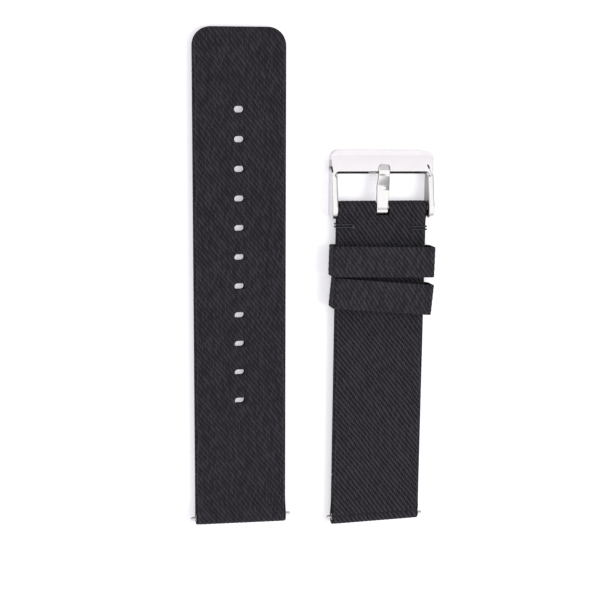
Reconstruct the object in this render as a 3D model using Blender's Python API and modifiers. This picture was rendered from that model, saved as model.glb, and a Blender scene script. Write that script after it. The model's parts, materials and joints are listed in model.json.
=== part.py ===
"""Two-piece canvas watch strap with a steel pin buckle, laid out side by side.

Metres, +Z up. Each half has a frame of its own: X across the strap, Y from its
lug fold towards its other end, and Z up from the surface that it lies on.
"""
import math

import bmesh
import bpy
from mathutils import Vector

# The two bands of canvas
STRAP_WIDTH = 0.022
LONG_LENGTH = 0.1185
SHORT_LENGTH = 0.07975
FACE_THICKNESS = 0.0007
CORE_THICKNESS = 0.0005
LINING_THICKNESS = 0.0007
GLUE_LINE = 0.00005
TIP_RADIUS = 0.0043
CORE_INSET = 0.0002
CORE_SETBACK = 0.0022
LUG_FLAP_LENGTH = 0.0105
BUCKLE_FLAP_LENGTH = 0.0145
BUTT_GAP = 0.0003
LUG_RAMP_LENGTH = 0.005
BUCKLE_RAMP_LENGTH = 0.0035

# Adjustment holes of the long band
HOLE_COUNT = 11
HOLE_PITCH = 0.00693
FIRST_HOLE = 0.0303
HOLE_LENGTH = 0.0032
HOLE_WIDTH = 0.0015

# Spring bars: tube, two pins and the coil spring between them
BAR_RADIUS = 0.00075
TUBE_WALL = 0.00015
TUBE_END_INSET = 0.0001
LIP_LENGTH = 0.0003
PIN_RADIUS = 0.00045
PIN_REACH = 0.0012
PIN_CHAMFER = 0.0001
PIN_HEAD_LENGTH = 0.0010
PIN_TAIL_RADIUS = 0.00035
PIN_TAIL_LENGTH = 0.0028
RUNNING_CLEARANCE = 0.00005
LOOP_CLEARANCE = 0.00005
SPRING_WIRE_RADIUS = 0.00008
SPRING_TURNS = 12
SPRING_POINTS_PER_TURN = 8

# Buckle frame, measured from the axis of its spring bar
BUCKLE_END_RADIUS = 0.0023
BUCKLE_ARM_OVERHANG = 0.00055
BUCKLE_ARM_WIDTH = 0.0015
BUCKLE_SIDE_CLEARANCE = 0.00015
PLATE_INNER_EDGE = 0.00805
PLATE_WIDTH = 0.00545
PLATE_INNER_HEIGHT = 0.0029
PLATE_OUTER_HEIGHT = 0.00205
PLATE_CROWN = 0.00015
BUCKLE_CORNER_RADIUS = 0.0021
WINDOW_CORNER_RADIUS = 0.0005
BUCKLE_EDGE_ROUND = 0.0003
PIN_HOLE_FLOOR = 0.0004
BUCKLE_SLICES = 14

# Buckle tongue and the notch that its tip lies in
TONGUE_WIDTH = 0.00275
TONGUE_THICKNESS = 0.0007
TONGUE_FLAT_LENGTH = 0.0044
TONGUE_SLOPE_LENGTH = 0.0034
TONGUE_TIP_LENGTH = 0.0027
TONGUE_TIP_CLEARANCE = 0.00005
TONGUE_EDGE_ROUND = 0.00012
NOTCH_WIDTH = 0.0033
NOTCH_DEPTH = 0.0006
NOTCH_END_GAP = 0.00025
SLOT_WIDTH = 0.00335
SLOT_REACH = 0.0020

# Tack stitches beside the buckle
LEFT_TACK_SETBACK = 0.0045
RIGHT_TACK_SETBACK = 0.00515
TACK_LENGTH = 0.0039
TACK_SPACING = 0.0007
THREAD_RADIUS = 0.00017
THREAD_GAP = 0.00005
THREAD_TAIL = 0.0014
THREAD_BEND_RADIUS = 0.0003

# Keeper loops
KEEPER_LENGTH = 0.0074
KEEPER_WALL = 0.0006
KEEPER_UNDER_GAP = 0.0001
KEEPER_TOP_GAP = 0.00205
KEEPER_CORNER_RADIUS = 0.0005
FIXED_KEEPER_SIDE_GAP = 0.00113
FIXED_KEEPER_SETBACK = 0.01303
FIXED_KEEPER_SHIFT = 0.00022
FIXED_KEEPER_SKEW = math.radians(-1.1)
FREE_KEEPER_SIDE_GAP = 0.0008
FREE_KEEPER_SETBACK = 0.02144
FREE_KEEPER_SHIFT = 0.00025
FREE_KEEPER_SKEW = math.radians(-4.9)

# How the two halves lie beside each other
HALF_SPACING = 0.03359
SHORT_HALF_DROP = 0.0018
SHORT_HALF_YAW = math.radians(-0.54)

CUT_OVERRUN = 0.001
ARC_STEPS = 12
TURN_STEPS = 20
WELD_DISTANCE = 0.000001

# Sizes worked out from those above
HALF_WIDTH = STRAP_WIDTH / 2
STRAP_THICKNESS = LINING_THICKNESS + CORE_THICKNESS + FACE_THICKNESS + 2 * GLUE_LINE
LOOP_MIDDLE_RADIUS = BAR_RADIUS + LOOP_CLEARANCE + FACE_THICKNESS / 2
LOOP_OUTER_RADIUS = BAR_RADIUS + LOOP_CLEARANCE + FACE_THICKNESS
BORE_RADIUS = BAR_RADIUS - TUBE_WALL
TUBE_HALF_LENGTH = HALF_WIDTH - TUBE_END_INSET
SHORT_LIFT = KEEPER_WALL + KEEPER_UNDER_GAP
BUCKLE_AXIS_Y = SHORT_LENGTH - LOOP_OUTER_RADIUS
BUCKLE_AXIS_Z = BUCKLE_END_RADIUS
BUCKLE_INNER_HALF = HALF_WIDTH + BUCKLE_SIDE_CLEARANCE
BUCKLE_OUTER_HALF = BUCKLE_INNER_HALF + BUCKLE_ARM_WIDTH
PLATE_OUTER_EDGE = PLATE_INNER_EDGE + PLATE_WIDTH
KEEPER_HEIGHT = SHORT_LIFT + STRAP_THICKNESS + KEEPER_TOP_GAP + KEEPER_WALL


def clear_scene():
    for old in list(bpy.data.objects):
        bpy.data.objects.remove(old, do_unlink=True)


def new_collection(name):
    made = bpy.data.collections.new(name)
    bpy.context.scene.collection.children.link(made)
    return made


def make_material(name, colour, roughness, metallic):
    made = bpy.data.materials.new(name)
    made.use_nodes = True
    shader = made.node_tree.nodes["Principled BSDF"]
    shader.inputs["Base Color"].default_value = (*colour, 1)
    shader.inputs["Roughness"].default_value = roughness
    shader.inputs["Metallic"].default_value = metallic
    return made


def add_empty(name, parent=None, location=(0, 0, 0), yaw=0):
    made = bpy.data.objects.new(name, None)
    PARTS.objects.link(made)
    made.parent = parent
    made.location = location
    made.rotation_euler.z = yaw
    return made


def add_object(name, data, parent, look, location=(0, 0, 0), yaw=0):
    """A named piece in its parent's frame, with a material of its own."""
    made = bpy.data.objects.new(name, data)
    PARTS.objects.link(made)
    made.parent = parent
    made.location = location
    made.rotation_euler.z = yaw
    data.materials.append(make_material(name, *look))
    return made


def add_cutter(name, data, parent, location=(0, 0, 0)):
    made = bpy.data.objects.new(name, data)
    CUTTERS.objects.link(made)
    made.parent = parent
    made.location = location
    made.hide_render = True
    made.display_type = "WIRE"
    return made


def boolean(target, cutter, operation):
    modifier = target.modifiers.new(cutter.name, "BOOLEAN")
    modifier.operation = operation
    modifier.solver = "EXACT"
    modifier.object = cutter


def arc(centre, radius, start, stop, steps=ARC_STEPS):
    """Points on an arc, with its angles in degrees from the first axis."""
    angles = [math.radians(start + (stop - start) * i / steps) for i in range(steps + 1)]
    return [(centre[0] + radius * math.cos(a), centre[1] + radius * math.sin(a)) for a in angles]


def ease_curve(start, stop, steps=ARC_STEPS):
    """Points from start to stop that leave and arrive level."""
    points = []
    for i in range(steps + 1):
        share = i / steps
        height = start[1] + (stop[1] - start[1]) * share * share * (3 - 2 * share)
        points.append((start[0] + (stop[0] - start[0]) * share, height))
    return points


def strip_mesh(name, rows, closed=False):
    """An open sheet from pairs of points, one pair for each row across it."""
    mesh = bmesh.new()
    pairs = [(mesh.verts.new(left), mesh.verts.new(right)) for left, right in rows]
    following = pairs[1:] + pairs[:1] if closed else pairs[1:]
    for (left, right), (next_left, next_right) in zip(pairs, following):
        mesh.faces.new((left, right, next_right, next_left))
    data = bpy.data.meshes.new(name)
    mesh.to_mesh(data)
    mesh.free()
    return data


def solidify(target, thickness):
    modifier = target.modifiers.new("thickness", "SOLIDIFY")
    modifier.thickness = thickness
    modifier.offset = 0
    modifier.use_even_offset = True


def flat_curve(name, outlines, height, edge_round=0):
    """Closed flat outlines as one 2D curve, filled and as thick as height."""
    curve = bpy.data.curves.new(name, "CURVE")
    curve.dimensions = "2D"
    curve.fill_mode = "BOTH"
    curve.extrude = height / 2 - edge_round
    curve.bevel_depth = edge_round
    curve.bevel_resolution = 1
    curve.offset = -edge_round
    for outline in outlines:
        spline = curve.splines.new("POLY")
        spline.points.add(len(outline) - 1)
        for point, (x, y) in zip(spline.points, outline):
            point.co = (x, y, 0, 1)
        spline.use_cyclic_u = True
    return curve


def curve_to_mesh(curve, lift=0):
    """The mesh of a curve, with its caps welded, raised by lift."""
    carrier = bpy.data.objects.new(curve.name, curve)
    bpy.context.scene.collection.objects.link(carrier)
    graph = bpy.context.evaluated_depsgraph_get()
    data = bpy.data.meshes.new_from_object(carrier.evaluated_get(graph))
    bpy.data.objects.remove(carrier, do_unlink=True)
    mesh = bmesh.new()
    mesh.from_mesh(data)
    bmesh.ops.remove_doubles(mesh, verts=mesh.verts, dist=WELD_DISTANCE)
    bmesh.ops.translate(mesh, vec=(0, 0, lift), verts=mesh.verts)
    mesh.to_mesh(data)
    mesh.free()
    return data


def prism(name, outlines, low, high):
    """Flat outlines raised from one height to another."""
    return curve_to_mesh(flat_curve(name, outlines, high - low), (low + high) / 2)


def rectangle(x_low, x_high, y_low, y_high):
    return [(x_low, y_low), (x_high, y_low), (x_high, y_high), (x_low, y_high)]


def tip_outline(half_width, start, stop, radius):
    """A band from start to stop, with the two corners at stop rounded."""
    points = [(-half_width, start), (half_width, start)]
    points += arc((half_width - radius, stop - radius), radius, 0, 90)
    points += arc((radius - half_width, stop - radius), radius, 90, 180)
    return points


def oblong(centre_y):
    """One adjustment hole, with its long side across the strap."""
    radius = HOLE_WIDTH / 2
    straight = HOLE_LENGTH / 2 - radius
    points = arc((straight, centre_y), radius, -90, 90, ARC_STEPS // 2)
    points += arc((-straight, centre_y), radius, 90, 270, ARC_STEPS // 2)
    return points


def turned_mesh(name, profile, closed):
    """A profile of (along X, radius) points, in the order that its Screw needs."""
    data = bpy.data.meshes.new(name)
    count = len(profile)
    edges = [(i, (i + 1) % count) for i in range(count if closed else count - 1)]
    data.from_pydata([(x, radius, 0) for x, radius in profile], edges, [])
    return data


def turn(target):
    modifier = target.modifiers.new("turn", "SCREW")
    modifier.axis = "X"
    modifier.angle = math.tau
    modifier.steps = TURN_STEPS
    modifier.render_steps = TURN_STEPS
    modifier.use_merge_vertices = True
    modifier.merge_threshold = WELD_DISTANCE


def wire_curve(name, points, radius, resolution=1):
    """A round wire along a list of points, with closed ends."""
    curve = bpy.data.curves.new(name, "CURVE")
    curve.dimensions = "3D"
    curve.bevel_depth = radius
    curve.bevel_resolution = resolution
    curve.use_fill_caps = True
    spline = curve.splines.new("POLY")
    spline.points.add(len(points) - 1)
    for point, place in zip(spline.points, points):
        point.co = (*place, 1)
    return curve


def fold_path(axis, outward, ramp, face_z, flap_z, flap_length):
    """Middle line of the face from its top, round a spring bar and back under.

    axis is the bar's (y, z), and outward is the sign of Y that the fold points to.
    """
    top = (axis[0], axis[1] + LOOP_MIDDLE_RADIUS)
    bottom = (axis[0], axis[1] - LOOP_MIDDLE_RADIUS)
    ramp_y = axis[0] - outward * ramp
    points = ease_curve((ramp_y, face_z), top)[:-1]
    points += arc(axis, LOOP_MIDDLE_RADIUS, 90, 90 - outward * 180)
    points += ease_curve(bottom, (ramp_y, flap_z))[1:]
    points.append((axis[0] - outward * flap_length, flap_z))
    return points


def face_rows(path, half_width):
    return [(Vector((-half_width, y, z)), Vector((half_width, y, z))) for y, z in path]


def spring_bar(name, parent):
    """Tube, two sprung pins and their coil spring, about the parent's X axis."""
    lip = PIN_RADIUS + RUNNING_CLEARANCE
    inner = TUBE_HALF_LENGTH - LIP_LENGTH
    profile = [
        (TUBE_HALF_LENGTH, lip),
        (TUBE_HALF_LENGTH, BAR_RADIUS),
        (-TUBE_HALF_LENGTH, BAR_RADIUS),
        (-TUBE_HALF_LENGTH, lip),
        (-inner, lip),
        (-inner, BORE_RADIUS),
        (inner, BORE_RADIUS),
        (inner, lip),
    ]
    turn(add_object(f"{name}_tube", turned_mesh(f"{name}_tube", profile, True), parent, STEEL))
    for side, label in ((-1, "left"), (1, "right")):
        pin = add_object(f"{name}_pin_{label}", pin_mesh(f"{name}_pin_{label}"), parent, STEEL)
        pin.rotation_euler.z = 0 if side > 0 else math.pi
        turn(pin)
    spring_wire(f"{name}_spring", parent)


def pin_inner_end():
    """Where a pin's tail ends, from the middle of its bar."""
    head = TUBE_HALF_LENGTH - LIP_LENGTH - RUNNING_CLEARANCE
    return head - PIN_HEAD_LENGTH - PIN_TAIL_LENGTH


def pin_mesh(name):
    """Tip, head behind the tube's lip, and the tail that the spring sits on."""
    tip = HALF_WIDTH + PIN_REACH
    head = TUBE_HALF_LENGTH - LIP_LENGTH - RUNNING_CLEARANCE
    head_radius = BORE_RADIUS - RUNNING_CLEARANCE
    profile = [
        (tip, 0),
        (tip, PIN_RADIUS - PIN_CHAMFER),
        (tip - PIN_CHAMFER, PIN_RADIUS),
        (head, PIN_RADIUS),
        (head, head_radius),
        (head - PIN_HEAD_LENGTH, head_radius),
        (head - PIN_HEAD_LENGTH, PIN_TAIL_RADIUS),
        (pin_inner_end(), PIN_TAIL_RADIUS),
        (pin_inner_end(), 0),
    ]
    return turned_mesh(name, profile, False)


def spring_wire(name, parent):
    """A coil between the pins' tails, and a print of the least gap in its turns."""
    half_length = pin_inner_end() - RUNNING_CLEARANCE - SPRING_WIRE_RADIUS
    coil_radius = BORE_RADIUS - RUNNING_CLEARANCE - SPRING_WIRE_RADIUS
    count = SPRING_TURNS * SPRING_POINTS_PER_TURN
    points = []
    for i in range(count + 1):
        angle = math.tau * i / SPRING_POINTS_PER_TURN
        along = half_length * (2 * i / count - 1)
        points.append(Vector((along, coil_radius * math.cos(angle), coil_radius * math.sin(angle))))
    add_object(name, wire_curve(name, points, SPRING_WIRE_RADIUS), parent, STEEL)
    skipped = SPRING_POINTS_PER_TURN // 2
    gaps = [(p - q).length for i, p in enumerate(points) for q in points[i + skipped:]]
    print(name, "least gap between turns in mm", round((min(gaps) - 2 * SPRING_WIRE_RADIUS) * 1000, 3))


def long_half():
    """The band with the adjustment holes and a rounded tip."""
    half = add_empty("long_half", location=(-PAIR_CENTRE[0], -PAIR_CENTRE[1], 0))
    face_z = STRAP_THICKNESS - FACE_THICKNESS / 2
    flap_z = FACE_THICKNESS / 2
    axis = (LOOP_OUTER_RADIUS, LOOP_OUTER_RADIUS)
    path = [(LONG_LENGTH + CUT_OVERRUN, face_z)]
    path += fold_path(axis, -1, LUG_RAMP_LENGTH, face_z, flap_z, LUG_FLAP_LENGTH)
    rows = face_rows(path, HALF_WIDTH + CUT_OVERRUN)
    face = add_object("long_face", strip_mesh("long_face", rows), half, CANVAS)
    solidify(face, FACE_THICKNESS)
    plan = tip_outline(HALF_WIDTH, -CUT_OVERRUN, LONG_LENGTH, TIP_RADIUS)
    above = 2 * LOOP_OUTER_RADIUS + CUT_OVERRUN
    plan_cutter = add_cutter("long_plan", prism("long_plan", [plan], -CUT_OVERRUN, above), half)
    boolean(face, plan_cutter, "INTERSECT")

    core_low = LINING_THICKNESS + GLUE_LINE
    core_plan = tip_outline(
        HALF_WIDTH - CORE_INSET, axis[0] + CORE_SETBACK, LONG_LENGTH - CORE_INSET,
        TIP_RADIUS - CORE_INSET)
    core_mesh = prism("long_core", [core_plan], core_low, core_low + CORE_THICKNESS)
    core = add_object("long_core", core_mesh, half, INTERLINING)
    lining_start = axis[0] + LUG_FLAP_LENGTH + BUTT_GAP
    lining_plan = tip_outline(HALF_WIDTH, lining_start, LONG_LENGTH, TIP_RADIUS)
    lining_mesh = prism("long_lining", [lining_plan], 0, LINING_THICKNESS)
    lining = add_object("long_lining", lining_mesh, half, CANVAS)

    holes = [oblong(FIRST_HOLE + HOLE_PITCH * i) for i in range(HOLE_COUNT)]
    hole_cutter = add_cutter("holes", prism("holes", holes, -CUT_OVERRUN, above), half)
    for layer in (face, core, lining):
        boolean(layer, hole_cutter, "DIFFERENCE")
    spring_bar("long_lug_bar", add_empty("long_lug_bar", half, (0, *axis)))


def short_half():
    """The band with the buckle, its tack stitches and the two keepers."""
    place = (HALF_SPACING - PAIR_CENTRE[0], -SHORT_HALF_DROP - PAIR_CENTRE[1], 0)
    half = add_empty("short_half", location=place, yaw=SHORT_HALF_YAW)
    face_z = SHORT_LIFT + STRAP_THICKNESS - FACE_THICKNESS / 2
    flap_z = SHORT_LIFT + FACE_THICKNESS / 2
    lug_axis = (LOOP_OUTER_RADIUS, LOOP_OUTER_RADIUS)
    buckle_axis = (BUCKLE_AXIS_Y, BUCKLE_AXIS_Z)
    lug_end = fold_path(lug_axis, -1, LUG_RAMP_LENGTH, face_z, flap_z, LUG_FLAP_LENGTH)
    buckle_end = fold_path(buckle_axis, 1, BUCKLE_RAMP_LENGTH, face_z, flap_z, BUCKLE_FLAP_LENGTH)
    rows = face_rows(lug_end[::-1] + buckle_end, HALF_WIDTH)
    face = add_object("short_face", strip_mesh("short_face", rows), half, CANVAS)
    solidify(face, FACE_THICKNESS)

    core_low = SHORT_LIFT + LINING_THICKNESS + GLUE_LINE
    core_half = HALF_WIDTH - CORE_INSET
    core_plan = rectangle(
        -core_half, core_half, lug_axis[0] + CORE_SETBACK, BUCKLE_AXIS_Y - CORE_SETBACK)
    core_mesh = prism("short_core", [core_plan], core_low, core_low + CORE_THICKNESS)
    core = add_object("short_core", core_mesh, half, INTERLINING)
    lining_start = lug_axis[0] + LUG_FLAP_LENGTH + BUTT_GAP
    lining_stop = BUCKLE_AXIS_Y - BUCKLE_FLAP_LENGTH - BUTT_GAP
    lining_plan = rectangle(-HALF_WIDTH, HALF_WIDTH, lining_start, lining_stop)
    lining_mesh = prism("short_lining", [lining_plan], SHORT_LIFT, SHORT_LIFT + LINING_THICKNESS)
    add_object("short_lining", lining_mesh, half, CANVAS)

    slot_half = SLOT_WIDTH / 2
    slot_stop = BUCKLE_AXIS_Y + LOOP_OUTER_RADIUS + CUT_OVERRUN
    slot = rectangle(-slot_half, slot_half, BUCKLE_AXIS_Y - SLOT_REACH, slot_stop)
    above = BUCKLE_AXIS_Z + LOOP_OUTER_RADIUS + CUT_OVERRUN
    slot_cutter = add_cutter("tongue_slot", prism("tongue_slot", [slot], 0, above), half)
    boolean(face, slot_cutter, "DIFFERENCE")
    needle_cutter = add_cutter("needle_holes", needle_holes(above), half)
    boolean(face, needle_cutter, "DIFFERENCE")
    boolean(core, needle_cutter, "DIFFERENCE")

    for side, label in ((-1, "left"), (1, "right")):
        tack_stitch(f"tack_stitch_{label}", half, side)
    keeper("fixed_keeper", half, (FIXED_KEEPER_SHIFT, BUCKLE_AXIS_Y - FIXED_KEEPER_SETBACK, 0),
           FIXED_KEEPER_SKEW, FIXED_KEEPER_SIDE_GAP)
    keeper("free_keeper", half, (FREE_KEEPER_SHIFT, BUCKLE_AXIS_Y - FREE_KEEPER_SETBACK, 0),
           FREE_KEEPER_SKEW, FREE_KEEPER_SIDE_GAP)
    spring_bar("short_lug_bar", add_empty("short_lug_bar", half, (0, *lug_axis)))
    buckle(add_empty("buckle_bar", half, (0, *buckle_axis)))


def tack_rows(side):
    """The places along the strap of a tack stitch's two strands."""
    middle = BUCKLE_AXIS_Y - (LEFT_TACK_SETBACK if side < 0 else RIGHT_TACK_SETBACK)
    return middle - TACK_SPACING / 2, middle + TACK_SPACING / 2


def needle_holes(above):
    """Round holes for the threads, two for each tack stitch."""
    radius = THREAD_RADIUS + THREAD_GAP
    place = HALF_WIDTH - TACK_LENGTH
    outlines = [
        arc((side * place, y), radius, 0, 360 - 360 / ARC_STEPS, ARC_STEPS - 1)
        for side in (-1, 1) for y in tack_rows(side)
    ]
    return prism("needle_holes", outlines, 0, above)


def rounded_path(corners, radius, steps=3):
    """Straight runs between corners, each corner but the ends cut to a small bend."""
    points = [corners[0]]
    for before, corner, after in zip(corners, corners[1:], corners[2:]):
        start = corner + (before - corner).normalized() * radius
        stop = corner + (after - corner).normalized() * radius
        for i in range(steps + 1):
            share = i / steps
            one, two = start.lerp(corner, share), corner.lerp(stop, share)
            points.append(one.lerp(two, share))
    points.append(corners[-1])
    return points


def tack_stitch(name, parent, side):
    """One thread: two turns through its needle holes and round the strap's edge."""
    first, second = tack_rows(side)
    stand_off = THREAD_GAP + THREAD_RADIUS
    inside = side * (HALF_WIDTH - TACK_LENGTH)
    outside = side * (HALF_WIDTH + stand_off)
    low = SHORT_LIFT - stand_off
    high = SHORT_LIFT + STRAP_THICKNESS + stand_off
    tail = side * THREAD_TAIL
    corners = [
        (inside + tail, first, low), (inside, first, low), (inside, first, high),
        (outside, first, high), (outside, first, low),
        (inside, second, low), (inside, second, high),
        (outside, second, high), (outside, second, low), (outside - tail, second, low),
    ]
    path = rounded_path([Vector(corner) for corner in corners], THREAD_BEND_RADIUS)
    add_object(name, wire_curve(name, path, THREAD_RADIUS), parent, THREAD)


def keeper(name, parent, centre, skew, side_gap):
    """A canvas loop round the strap, open above it for the other half's tip."""
    half_width = HALF_WIDTH + side_gap + KEEPER_WALL / 2
    low = KEEPER_WALL / 2
    high = KEEPER_HEIGHT - KEEPER_WALL / 2
    radius = KEEPER_CORNER_RADIUS
    section = []
    for x, z, start in ((1, 1, 0), (-1, 1, 90), (-1, -1, 180), (1, -1, 270)):
        corner = (x * (half_width - radius), high - radius if z > 0 else low + radius)
        section += arc(corner, radius, start, start + 90, ARC_STEPS // 2)
    reach = KEEPER_LENGTH / 2
    rows = [(Vector((x, -reach, z)), Vector((x, reach, z))) for x, z in section]
    loop = add_object(name, strip_mesh(name, rows, True), parent, CANVAS, centre, skew)
    solidify(loop, KEEPER_WALL)


def buckle(axis):
    """The frame, the tongue and the spring bar that holds them to the strap."""
    frame = add_object("buckle_frame", frame_mesh(), axis, STEEL)
    pin_hole = add_cutter("pin_holes", pin_hole_mesh(), axis)
    notch = add_cutter("notch", notch_mesh(), axis)
    boolean(frame, pin_hole, "DIFFERENCE")
    boolean(frame, notch, "DIFFERENCE")
    rows = tongue_rows()
    tongue = add_object("buckle_tongue", strip_mesh("buckle_tongue", rows), axis, STEEL)
    solidify(tongue, TONGUE_THICKNESS)
    edges = tongue.modifiers.new("edges", "BEVEL")
    edges.width = TONGUE_EDGE_ROUND
    edges.segments = 2
    edges.angle_limit = math.radians(60)
    spring_bar("buckle_bar", axis)


def frame_top(y):
    """Height of the buckle's top above its bar axis, at a place along the strap."""
    least = 2 * BUCKLE_EDGE_ROUND
    if y <= 0:
        past = min(y + BUCKLE_ARM_OVERHANG, 0)
        return max(math.sqrt(max(BUCKLE_END_RADIUS ** 2 - past ** 2, 0)), least)
    inner = PLATE_INNER_HEIGHT - BUCKLE_END_RADIUS
    outer = PLATE_OUTER_HEIGHT - BUCKLE_END_RADIUS
    if y < PLATE_INNER_EDGE:
        share = y / PLATE_INNER_EDGE
        return BUCKLE_END_RADIUS + (inner - BUCKLE_END_RADIUS) * share
    share = (y - PLATE_INNER_EDGE) / PLATE_WIDTH
    return inner + (outer - inner) * share + PLATE_CROWN * math.sin(math.pi * share)


def frame_bottom(y):
    """Depth of the buckle's underside below its bar axis."""
    if y <= 0:
        return -frame_top(y)
    return -BUCKLE_END_RADIUS


def frame_mesh():
    """A U-shaped plan with rounded edges, given its height along the strap."""
    outer, inner = BUCKLE_OUTER_HALF, BUCKLE_INNER_HALF
    corner, window = BUCKLE_CORNER_RADIUS, WINDOW_CORNER_RADIUS
    end = -BUCKLE_ARM_OVERHANG - BUCKLE_END_RADIUS
    steps = ARC_STEPS // 2
    plan = [(inner, end), (outer, end)]
    plan += arc((outer - corner, PLATE_OUTER_EDGE - corner), corner, 0, 90, steps)
    plan += arc((corner - outer, PLATE_OUTER_EDGE - corner), corner, 90, 180, steps)
    plan += [(-outer, end), (-inner, end)]
    plan += arc((window - inner, PLATE_INNER_EDGE - window), window, 180, 90, steps // 2)
    plan += arc((inner - window, PLATE_INNER_EDGE - window), window, 90, 0, steps // 2)
    depth = 2 * BUCKLE_END_RADIUS
    data = curve_to_mesh(flat_curve("buckle_frame", [plan], depth, BUCKLE_EDGE_ROUND))
    mesh = bmesh.new()
    mesh.from_mesh(data)
    angles = [math.pi / 2 * i / BUCKLE_SLICES for i in range(1, BUCKLE_SLICES + 1)]
    cuts = [-BUCKLE_ARM_OVERHANG - BUCKLE_END_RADIUS * math.cos(angle) for angle in angles]
    cuts += [PLATE_INNER_EDGE * i / BUCKLE_SLICES for i in range(BUCKLE_SLICES + 1)]
    cuts += [PLATE_INNER_EDGE + PLATE_WIDTH * i / BUCKLE_SLICES for i in range(1, BUCKLE_SLICES)]
    for y in cuts:
        geometry = mesh.verts[:] + mesh.edges[:] + mesh.faces[:]
        bmesh.ops.bisect_plane(
            mesh, geom=geometry, dist=WELD_DISTANCE, plane_co=(0, y, 0), plane_no=(0, 1, 0))
    for vertex in mesh.verts:
        y, z = vertex.co.y, vertex.co.z
        if z > 0:
            vertex.co.z = frame_top(y) - (BUCKLE_END_RADIUS - z)
        else:
            vertex.co.z = frame_bottom(y) + (BUCKLE_END_RADIUS + z)
    bmesh.ops.triangulate(mesh, faces=mesh.faces)
    mesh.to_mesh(data)
    mesh.free()
    data.shade_smooth()
    data.set_sharp_from_angle(angle=math.radians(35))
    return data


def pin_hole_mesh():
    """Two blind holes into the arms from inside, along the bar's axis."""
    mesh = bmesh.new()
    radius = PIN_RADIUS + RUNNING_CLEARANCE
    floor = BUCKLE_OUTER_HALF - PIN_HOLE_FLOOR
    mouth = BUCKLE_INNER_HALF - CUT_OVERRUN
    for side in (-1, 1):
        made = bmesh.ops.create_cone(
            mesh, cap_ends=True, segments=TURN_STEPS, radius1=radius, radius2=radius,
            depth=floor - mouth)
        for vertex in made["verts"]:
            x, y, z = vertex.co
            vertex.co = (z + side * (floor + mouth) / 2, y, -x)
    data = bpy.data.meshes.new("pin_holes")
    mesh.to_mesh(data)
    mesh.free()
    return data


def notch_floor():
    """Height of the notch's floor above the bar axis."""
    middle = PLATE_INNER_EDGE + TONGUE_TIP_LENGTH / 2
    return frame_top(middle) - NOTCH_DEPTH


def tongue_reach():
    return TONGUE_FLAT_LENGTH + TONGUE_SLOPE_LENGTH + TONGUE_TIP_LENGTH


def notch_mesh():
    """The cut in the plate for the tongue's tip, open towards the window."""
    half = NOTCH_WIDTH / 2
    stop = tongue_reach() + NOTCH_END_GAP
    outline = rectangle(-half, half, PLATE_INNER_EDGE - CUT_OVERRUN, stop)
    return prism("notch", [outline], notch_floor(), BUCKLE_END_RADIUS)


def tongue_rows():
    """A strip curled round the bar, then flat, sloping down and flat in the notch."""
    radius = BAR_RADIUS + LOOP_CLEARANCE + TONGUE_THICKNESS / 2
    tip_z = notch_floor() + TONGUE_TIP_CLEARANCE + TONGUE_THICKNESS / 2
    slope_y = TONGUE_FLAT_LENGTH + TONGUE_SLOPE_LENGTH
    path = arc((0, 0), radius, -20, -270, 2 * ARC_STEPS)
    path += ease_curve((TONGUE_FLAT_LENGTH, radius), (slope_y, tip_z), ARC_STEPS // 2)
    half = TONGUE_WIDTH / 2
    rows = [(Vector((-half, y, z)), Vector((half, y, z))) for y, z in path]
    corner = half / 2
    for x, y in arc((half - corner, tongue_reach() - corner), corner, 0, 80, ARC_STEPS // 2):
        rows.append((Vector((-x, y, tip_z)), Vector((x, y, tip_z))))
    return rows


def pair_centre():
    """Middle of the laid-out pair, from the long half's lug fold."""
    left = -(HALF_WIDTH + PIN_REACH)
    turned_by = (BUCKLE_AXIS_Y + PLATE_INNER_EDGE) * math.sin(-SHORT_HALF_YAW)
    right = HALF_SPACING + BUCKLE_OUTER_HALF + turned_by
    return (left + right) / 2, (LONG_LENGTH - SHORT_HALF_DROP) / 2


PAIR_CENTRE = pair_centre()
CANVAS = ((0.031, 0.029, 0.034), 0.9, 0)
INTERLINING = ((0.08, 0.08, 0.085), 0.9, 0)
THREAD = ((0.024, 0.023, 0.026), 0.8, 0)
STEEL = ((0.78, 0.77, 0.77), 0.25, 1)

clear_scene()
PARTS = new_collection("canvas_watch_strap")
CUTTERS = new_collection("cutters")
long_half()
short_half()
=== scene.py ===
"""Looks of the two-piece canvas watch strap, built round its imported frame.

Metres, +Z up. Each half of the strap has a frame of its own, as in the model:
X across the band, Y from the lug fold towards its other end, Z up from the floor.
"""
import json
import math

import bmesh
import bpy
import numpy as np
from mathutils import Matrix, Vector


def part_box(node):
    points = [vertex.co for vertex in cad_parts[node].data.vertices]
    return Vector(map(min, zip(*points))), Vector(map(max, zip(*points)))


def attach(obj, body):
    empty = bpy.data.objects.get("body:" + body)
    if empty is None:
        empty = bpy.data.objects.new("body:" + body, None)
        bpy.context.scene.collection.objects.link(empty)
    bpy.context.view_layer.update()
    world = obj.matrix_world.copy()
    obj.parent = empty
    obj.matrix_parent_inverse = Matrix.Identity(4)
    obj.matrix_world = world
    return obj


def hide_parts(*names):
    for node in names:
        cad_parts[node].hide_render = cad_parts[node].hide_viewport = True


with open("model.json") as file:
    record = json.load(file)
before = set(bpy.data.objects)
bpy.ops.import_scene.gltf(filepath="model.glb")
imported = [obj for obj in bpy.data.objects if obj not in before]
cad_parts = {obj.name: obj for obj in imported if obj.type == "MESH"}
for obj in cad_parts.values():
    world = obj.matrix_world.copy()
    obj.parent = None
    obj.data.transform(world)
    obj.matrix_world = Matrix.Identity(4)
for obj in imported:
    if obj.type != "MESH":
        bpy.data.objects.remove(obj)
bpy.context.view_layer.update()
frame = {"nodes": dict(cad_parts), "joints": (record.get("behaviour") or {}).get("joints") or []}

MM = 0.001

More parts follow.
